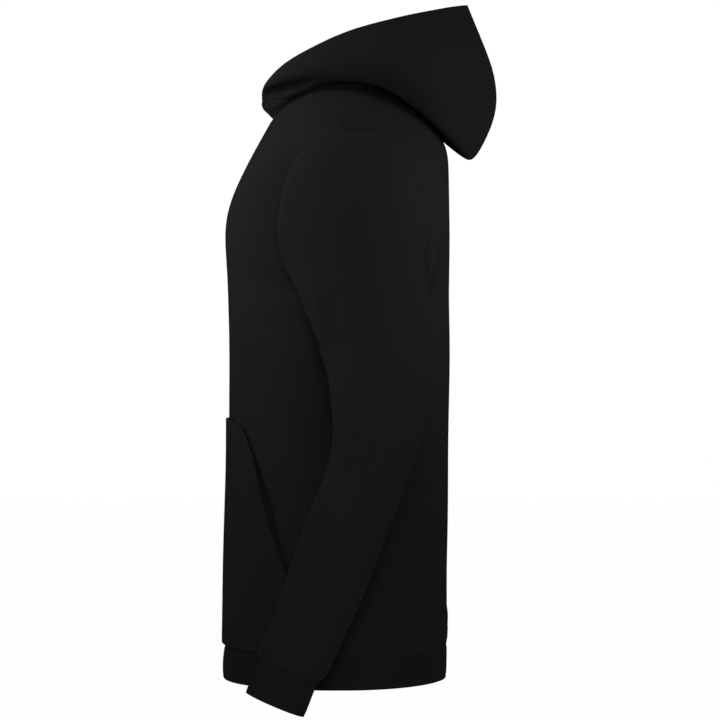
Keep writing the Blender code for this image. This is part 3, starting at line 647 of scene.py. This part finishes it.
def borderOf(piece):
    # the sheet's edge in order, once round, and the way inwards over the cloth at each place
    points, normals = pointsOf(piece), normalsOf(piece)
    pairs = edgePairs(piece)
    beside = {}
    for first, second in pairs:
        beside.setdefault(first, []).append(second)
        beside.setdefault(second, []).append(first)
    inner = {}
    for line in piece.data.edges:
        for here, there in (line.vertices, reversed(line.vertices)):
            if here in beside and there not in beside:
                inner[here] = there
    order = [pairs[0][0], pairs[0][1]]
    while True:
        before, here = order[-2:]
        after = [there for there in beside[here] if there != before][0]
        if after == order[0]:
            break
        order.append(after)
    line = points[order]
    along = np.roll(line, -1, axis=0) - np.roll(line, 1, axis=0)
    inwards = np.cross(normals[order], along)
    inwards /= np.maximum(np.linalg.norm(inwards, axis=1), 1e-12)[:, None]  # never by nothing
    toInside = np.array([points[inner[here]] - points[here] if here in inner else (0, 0, 0)
                         for here in order])
    if np.einsum("ij,ij->i", inwards, toInside).sum() < 0:
        inwards = -inwards
    return line, inwards


sheets = {}
outsides = {}
borders = {}
for name, panel in panels.items():
    piece = outsideOf(name, name + "_cloth", panel["within"])
    if "seam" in panel:
        openAlong(piece, panel["seam"])
    cutFlat(piece)
    sheets[name] = piece
firstEdges = {name: pointsOf(piece)[onEdge(piece)] for name, piece in sheets.items()}
for name, piece in sheets.items():
    holdCorners(name)
    refine(piece, cloth["levels"])
    applyAll(piece)
edges = {name: edgeLine(piece) for name, piece in sheets.items()}

shaped = {}
for name, piece in sheets.items():
    surface = surfaceOf(piece)
    points, normals = pointsOf(piece), normalsOf(piece)
    lift = swell(points)
    for fold in folds:
        if name in fold["on"]:
            line = pathOn(surface, fold)
            if len(line) > 3:
                lift += heightOf(fold, line, points, normals)
    if name.startswith("hood"):
        # the collar's front corner keeps its shape
        near, far = cloth["collarStill"]
        corner = cloth["throat"] * (1 if name.endswith("left") else -1, 1, 1)
        lift *= smoothStep(near * mm, far * mm, np.linalg.norm(points - corner, axis=1))
    away = distanceTo(edges[name.replace("pocket", "front")], points)
    lift -= cloth["seamDip"] * mm * np.exp(-(away / (cloth["seamReach"] * mm)) ** 2)
    if not name.startswith("hood"):
        # nothing moves beside the zip, so that its tape stays clear
        near, far = cloth["zipStill"]
        beside = smoothStep(near * mm, far * mm, np.abs(points[:, 0]))
        lift *= np.where(points[:, 1] < 0, beside, 1)
    shaped[name] = points + normals * lift[:, None]
shutSeams()
for name, piece in sheets.items():
    setPoints(piece, shaped[name])
    outsides[name] = surfaceOf(piece)
    borders[name] = borderOf(piece)

for name, piece in sheets.items():
    panel = panels[name]
    isBand = panel.get("slot") == "band"
    onlyFinish(piece, band if isBand else fleece)
    thicken(piece, cloth["bandThick"] if isBand else cloth["thick"])
    applyAll(piece)
    for face in piece.data.polygons:
        face.use_smooth = True
    pick(piece)
    bpy.ops.object.shade_smooth_by_angle(angle=math.radians(cloth["smooth"]))
    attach(piece, "garment")
    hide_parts(name)
print("cloth shaped")


# the zip: woven tapes, moulded teeth, and the metal pieces with their edges eased
zipLook = {
    "tape": (0.0060, 0.0060, 0.0063),
    "teeth": (0.0050, 0.0050, 0.0054),
    "metal": (0.018, 0.018, 0.020),
    "pitch": 2.6,  # from one tooth to the next on the same side
    "toothLong": 1.22,
    "toothHigh": 2.3,
    "toothOut": 4.4,  # from the centre to the tooth's outer end
    "toothIn": 1.9,  # and to its inner end, before its neck and head
    "head": ((0.62, 0.9), (1.5, 0.5), (0.7, 0.75)),  # each step's width against the last, and its length
    "headHigh": 0.96,
    "toothEdge": 0.16,
    "sunk": 0.75,  # how deep the teeth sit in the strip that they replace
    "top": -61.5,
    "bottom": -681.5,
    "tapeThick": 0.7,
    "tapeIn": 4,  # a tape's corners nearer the middle than this go to the middle
    "tapeWithin": (9, 0, -400),
    "twill": 1.1,
    "zigzag": 2.4,
    "easing": 0.28,
    "easedFrom": 40,  # degrees, from which an edge of the metal is eased
    "wear": 0.22,
    "smoothest": 0.26,
}


def wovenTape():
    finish = Finish("zip tape", zipLook["tape"], 0.85)
    cut = finish.node("ShaderNodeUVMap", {"uv_map": "cut"}, {})
    across = finish.node("ShaderNodeSeparateXYZ", {}, {0: cut})
    along = finish.node("ShaderNodeSeparateXYZ", {}, {0: cut}, out=1)
    zigzag = finish.node("ShaderNodeMath", {"operation": "PINGPONG"}, {0: across, 1: zipLook["zigzag"] * mm})
    twill = finish.node("ShaderNodeMath", {"operation": "SINE"},
                        {0: (along + zigzag * 1.2) * (2 * math.pi / (zipLook["twill"] * mm))})
    finish.bump(twill * 0.5, 0.6, 0.15 * mm)
    finish.set("Specular IOR Level", 0.15)
    return finish.material


def mouldedTeeth():
    finish = Finish("zip teeth", zipLook["teeth"], 0.5)
    finish.set("Specular IOR Level", 0.06)
    return finish.material


def darkMetal():
    finish = Finish("zip metal", zipLook["metal"], 0.36, 0.85)
    place = finish.node("ShaderNodeTexCoord", {}, {}, out=3)
    wear = finish.noise(place, 380, detail=3)
    finish.set("Roughness", wear * zipLook["wear"] + zipLook["smoothest"])
    return finish.material


def cutStrip(piece):
    # a straight strip is as wide as it stands and as long as its run down the front
    points = pointsOf(piece)
    run = points[np.abs(points[:, 0]).argsort()[:len(points) // 3]]
    run = run[run[:, 2].argsort()]
    steps = np.linalg.norm(np.diff(run[:, 1:], axis=0), axis=1)
    along = np.concatenate([[0], np.cumsum(steps)])
    cut = newCutMap(piece)
    for loop, place in zip(piece.data.loops, cut.data):
        x, _, z = points[loop.vertex_index]
        place.uv = (abs(x), float(np.interp(z, run[:, 2], along)))
    return float(np.ptp(points[:, 0])), float(along[-1])


tapeFinish = wovenTape()
teethFinish = mouldedTeeth()
metalFinish = darkMetal()

for name in ("zip_tape_left", "zip_tape_right"):
    side = 1 if name.endswith("left") else -1
    tape = outsideOf(name, name + "_cloth", np.array(zipLook["tapeWithin"]) * (side, 1, 1))
    points = pointsOf(tape)
    points[np.abs(points[:, 0]) < zipLook["tapeIn"] * mm, 0] = 0
    setPoints(tape, points)
    width, length = cutStrip(tape)
    onlyFinish(tape, tapeFinish)
    refine(tape, 1)
    thicken(tape, zipLook["tapeThick"])
    applyAll(tape)
    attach(tape, "garment")
    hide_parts(name)
    "front_left" if side > 0 else "front_right"
    print(f"{name}: cut {width * 1000:.1f} x {length * 1000:.0f} mm")


def toothModel():
    # a body that grips the tape, a narrow neck and a head, made once
    deselectAll()
    bpy.ops.mesh.primitive_cube_add(size=1, location=(0, 0, 0))
    tooth = bpy.context.object
    out, into = zipLook["toothOut"], zipLook["toothIn"]
    tooth.scale = ((out - into) * mm, zipLook["toothHigh"] * mm, zipLook["toothLong"] * mm)
    tooth.location = ((out + into) / 2 * mm, 0, 0)
    bpy.ops.object.transform_apply(location=True, rotation=False, scale=True)
    editing(tooth)
    for width, reach in zipLook["head"]:
        bpy.ops.mesh.select_all(action="DESELECT")
        objectMode()
        inner = min(tooth.data.polygons, key=lambda face: face.center.x)
        inner.select = True
        bpy.ops.object.mode_set(mode="EDIT")
        bpy.ops.mesh.extrude_region_move(TRANSFORM_OT_translate={"value": (-reach * mm, 0, 0)})
        bpy.ops.transform.resize(value=(1, zipLook["headHigh"], width))
    bpy.ops.mesh.select_all(action="SELECT")
    bpy.ops.mesh.bevel(offset=zipLook["toothEdge"] * mm, segments=1, affect="EDGES")
    bpy.ops.mesh.select_all(action="SELECT")
    bpy.ops.mesh.normals_make_consistent(inside=False)
    bpy.ops.mesh.select_all(action="DESELECT")
    objectMode()
    return tooth


def copies(name, model, places, finish):
    # one mesh with a copy of the model at each place, and the model is taken away
    points = pointsOf(model)
    faces = [tuple(face.vertices) for face in model.data.polygons]
    allPoints, allFaces = [], []
    for count, place in enumerate(places):
        turned = np.array(place.to_3x3())
        allPoints.append(points @ turned.T + np.array(place.translation))
        allFaces += [tuple(corner + count * len(points) for corner in face) for face in faces]
    mesh = bpy.data.meshes.new(name)
    mesh.from_pydata(np.concatenate(allPoints).tolist(), [], allFaces)
    mesh.materials.append(finish)
    made = bpy.data.objects.new(name, mesh)
    bpy.context.scene.collection.objects.link(made)
    bpy.data.objects.remove(model)
    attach(made, "garment")
    return made


chainSurface = surfaceOf(copyOf("zip_chain", "chain form"))
bpy.data.objects.remove(bpy.data.objects["chain form"])


def onChain(z):
    # the middle of the chain at this height, facing out of the cloth and up the zip;
    # it is read a little to one side, where no line between two faces lies
    aside = Vector((0.4 * mm, 0, 0))
    place, outward = chainSurface.ray_cast(aside + Vector((0, -1, z * mm)), Vector((0, 1, 0)))[:2]
    outward = Vector((0, outward.y, outward.z)).normalized()
    up = Vector((1, 0, 0)).cross(outward).normalized()
    if up.z < 0:
        up = -up
    return place - outward * zipLook["sunk"] * mm - aside, outward, up


places = []
step = zipLook["pitch"] / 2
for count in range(int((zipLook["top"] - zipLook["bottom"]) / step)):
    middle, outward, up = onChain(zipLook["top"] - count * step)
    side = Vector((1 if count % 2 else -1, 0, 0))
    turned = Matrix((side, -outward if side.x < 0 else outward, up)).transposed().to_4x4()
    turned.translation = middle
    places.append(turned)
teeth = copies("zip_teeth", toothModel(), places, teethFinish)
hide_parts("zip_chain")
print(f"{len(places)} teeth, {len(teeth.data.polygons)} faces")

for name, body in (("zip_slider", "garment"), ("zip_top_stop_left", "garment"),
                   ("zip_top_stop_right", "garment"), ("zip_box", "garment"),
                   ("pull_tab", "pull_tab")):
    piece = copyOf(name, name + "_eased")
    editing(piece)
    bpy.ops.mesh.select_all(action="SELECT")
    bpy.ops.mesh.dissolve_limited(angle_limit=math.radians(2))
    bpy.ops.mesh.select_all(action="DESELECT")
    objectMode()
    easing = piece.modifiers.new("easing", "BEVEL")
    easing.width = zipLook["easing"] * mm
    easing.segments = 3
    easing.limit_method = "ANGLE"
    easing.angle_limit = math.radians(zipLook["easedFrom"])
    easing.use_clamp_overlap = True
    applyAll(piece)
    pick(piece)
    bpy.ops.object.shade_smooth_by_angle(angle=math.radians(zipLook["easedFrom"]))
    onlyFinish(piece, metalFinish)
    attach(piece, body)
    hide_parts(name)
print("zip made")


# stitching: each line follows a sheet's edge from one place to another, so far inside it
seamLines = [
    {"on": "front_{}", "from": (5.7, -76, -40), "to": (5.7, -132, -652), "by": (5.7, -130, -350),
     "inside": (6.5,)},
    {"on": "pocket_{}", "from": (28, -134, -391), "to": (128, -112, -403), "by": (80, -128, -392),
     "inside": (2.2, 8.5)},
    {"on": "pocket_{}", "from": (28, -134, -391), "to": (28, -139, -650), "by": (28, -136, -520),
     "inside": (2.2,)},
    {"on": "pocket_{}", "from": (136, -108, -407), "to": (190, -62, -566), "by": (161, -90, -460),
     "inside": (7.0, 13.0)},
    {"on": "pocket_{}", "from": (190, -62, -568), "to": (193, -57, -652), "by": (192, -60, -610),
     "inside": (2.2,)},
    {"on": "hood_{}", "from": (72, -67, 24), "to": (24, 148, 96), "by": (109, 14, 61),
     "inside": (24.0,)},
    {"on": "hood_{}", "from": (0, 151, 96), "to": (0, 152, -90), "by": (0, 187, -20),
     "inside": (3.2,)},
    {"on": "hood_{}", "from": (0, 150, -90), "to": (0, 76, -12), "by": (0, 93, 24),
     "inside": (3.2,)},
]
tacks = [  # short dense bars across the ends of the pocket's mouth
    {"on": "pocket_{}", "at": (137, -108, -410), "along": (0.50, 0.2, -0.85)},
    {"on": "pocket_{}", "at": (186, -66, -560), "along": (0.35, 0.3, -0.9)},
]
thread = {
    "colour": (0.0036, 0.0036, 0.0037),
    "pitch": 3.2,
    "long": 2.5,
    "wide": 0.62,
    "high": 0.46,
    "seated": 0.05,  # how far a stitch's middle stands off the cloth
    "tackLong": 9.0,
    "tackWide": 2.4,
    "tackHigh": 1.4,  # against a stitch
    "tackSeated": 0.15,
    "tackStep": 0.05,  # from one thread of a tack to the next, as a share of its length
}


def stitchModel(long, wide, high):
    deselectAll()
    bpy.ops.mesh.primitive_uv_sphere_add(segments=6, ring_count=4, radius=0.5)
    stitch = bpy.context.object
    stitch.scale = (wide * mm, high * mm, long * mm)
    bpy.ops.object.transform_apply(location=True, rotation=False, scale=True)
    bpy.ops.object.shade_smooth()
    return stitch


def partOf(border, start, end, by):
    # the part of a closed edge that runs between two places past a third
    line, inwards = border
    marks = [int(np.linalg.norm(line - np.array(mark) * mm, axis=1).argmin())
             for mark in (start, end, by)]
    count = len(line)
    ahead = (marks[1] - marks[0]) % count
    if (marks[2] - marks[0]) % count <= ahead:
        order = [(marks[0] + step) % count for step in range(ahead + 1)]
    else:
        order = [(marks[0] - step) % count for step in range(count - ahead + 1)]
    return line[order], inwards[order]


def seated(surface, place, lift):
    at, outward = surface.find_nearest(Vector(place))[:2]
    return at + outward * lift * mm, outward


def turnedTo(place, along, outward):
    along = (along - outward * along.dot(outward)).normalized()
    turned = Matrix((outward.cross(along), outward, along)).transposed().to_4x4()
    turned.translation = place
    return turned


def stitchedAlong(surface, line):
    steps = np.linalg.norm(np.diff(line, axis=0), axis=1)
    run = np.concatenate([[0], np.cumsum(steps)])
    marks = np.arange(thread["pitch"] / 2 * mm, run[-1], thread["pitch"] * mm)
    middles = np.array([np.interp(marks, run, line[:, axis]) for axis in range(3)]).T
    ahead = np.array([np.interp(marks + mm, run, line[:, axis]) for axis in range(3)]).T
    places = []
    for middle, following in zip(middles, ahead):
        at, outward = seated(surface, middle, thread["seated"])
        places.append(turnedTo(at, Vector(following - middle), outward))
    return places


threadFinish = Finish("thread", thread["colour"], 0.6)
threadFinish.set("Specular IOR Level", 0.03)
stitchPlaces = {}
for side in ("left", "right"):
    flip = np.array((1 if side == "left" else -1, 1, 1))
    for seam in seamLines:
        name = seam["on"].format(side)
        start, end, by = (np.array(seam[key]) * flip for key in ("from", "to", "by"))
        line, inwards = partOf(borders[name], start, end, by)
        for inside in seam["inside"]:
            stitchPlaces.setdefault(name, []).extend(
                stitchedAlong(outsides[name], line + inwards * inside * mm))
for name, places in stitchPlaces.items():
    model = stitchModel(thread["long"], thread["wide"], thread["high"])
    copies("stitches_" + name, model, places, threadFinish.material)
for side in ("left", "right"):
    flip = Vector((1 if side == "left" else -1, 1, 1))
    places = []
    for tack in tacks:
        along = (Vector(tack["along"]) * flip).normalized()
        for step in np.arange(-0.5, 0.5, thread["tackStep"]):
            middle = Vector(tack["at"]) * mm * flip + along * step * thread["tackLong"] * mm
            at, outward = seated(outsides["pocket_" + side], middle, thread["tackSeated"])
            places.append(turnedTo(at, along.cross(outward), outward))
    model = stitchModel(thread["tackWide"], thread["wide"], thread["high"] * thread["tackHigh"])
    copies("tacks_" + side, model, places, threadFinish.material)
print("stitching done")


# the studio: a pale floor well below the garment, white all round, three soft lights
studio = {
    "floorDepth": 1.5,
    "floorSize": 60,
    "floorColour": (0.99, 0.99, 0.99),
    "around": 1.0,
    "lights": (
        {"at": (0.16, -1.1, 0.3), "to": (0.12, -0.1, -0.08), "size": 0.4, "power": 2.1, "spread": 38,
         "colour": (0.86, 0.90, 1.0)},
        {"at": (0.42, 1.05, -0.1), "to": (0.16, 0.11, -0.15), "size": 0.4, "power": 0.95, "spread": 28,
         "colour": (0.86, 0.90, 1.0)},
        {"at": (2.6, 0.0, 0.2), "to": (0.25, 0.02, -0.3), "size": 0.7, "power": 52,
         "spread": 180, "colour": (1.0, 0.99, 0.95)},
    ),
    "cameraAt": (5.0, 0.0236, -0.321),
    "lens": 211.9,
}

bpy.ops.mesh.primitive_plane_add(size=studio["floorSize"], location=(0, 0, -studio["floorDepth"]))
floor = bpy.context.object
floor.name = "floor"
pale = Finish("pale floor", studio["floorColour"], 0.8)
floor.data.materials.append(pale.material)

world = bpy.data.worlds.new("white surround")
bpy.context.scene.world = world
world.use_nodes = True
surround = world.node_tree.nodes["Background"]
surround.inputs["Color"].default_value = (1, 1, 1, 1)
surround.inputs["Strength"].default_value = studio["around"]

for place, light in enumerate(studio["lights"]):
    data = bpy.data.lights.new(f"soft light {place + 1}", "AREA")
    data.size = light["size"]
    data.energy = light["power"]
    data.color = light["colour"]
    data.spread = math.radians(light["spread"])
    lamp = bpy.data.objects.new(data.name, data)
    lamp.location = light["at"]
    aim = Vector(light["to"]) - lamp.location
    lamp.rotation_euler = aim.to_track_quat("-Z", "Y").to_euler()
    bpy.context.scene.collection.objects.link(lamp)

camera = bpy.data.objects.new("camera", bpy.data.cameras.new("camera"))
camera.location = studio["cameraAt"]
camera.rotation_euler = (math.pi / 2, 0, math.pi / 2)
camera.data.sensor_width = 36
camera.data.lens = studio["lens"]
camera.data.clip_end = 100
bpy.context.scene.collection.objects.link(camera)
bpy.context.scene.camera = camera
bpy.context.scene.view_settings.view_transform = "Standard"
print("studio ready")
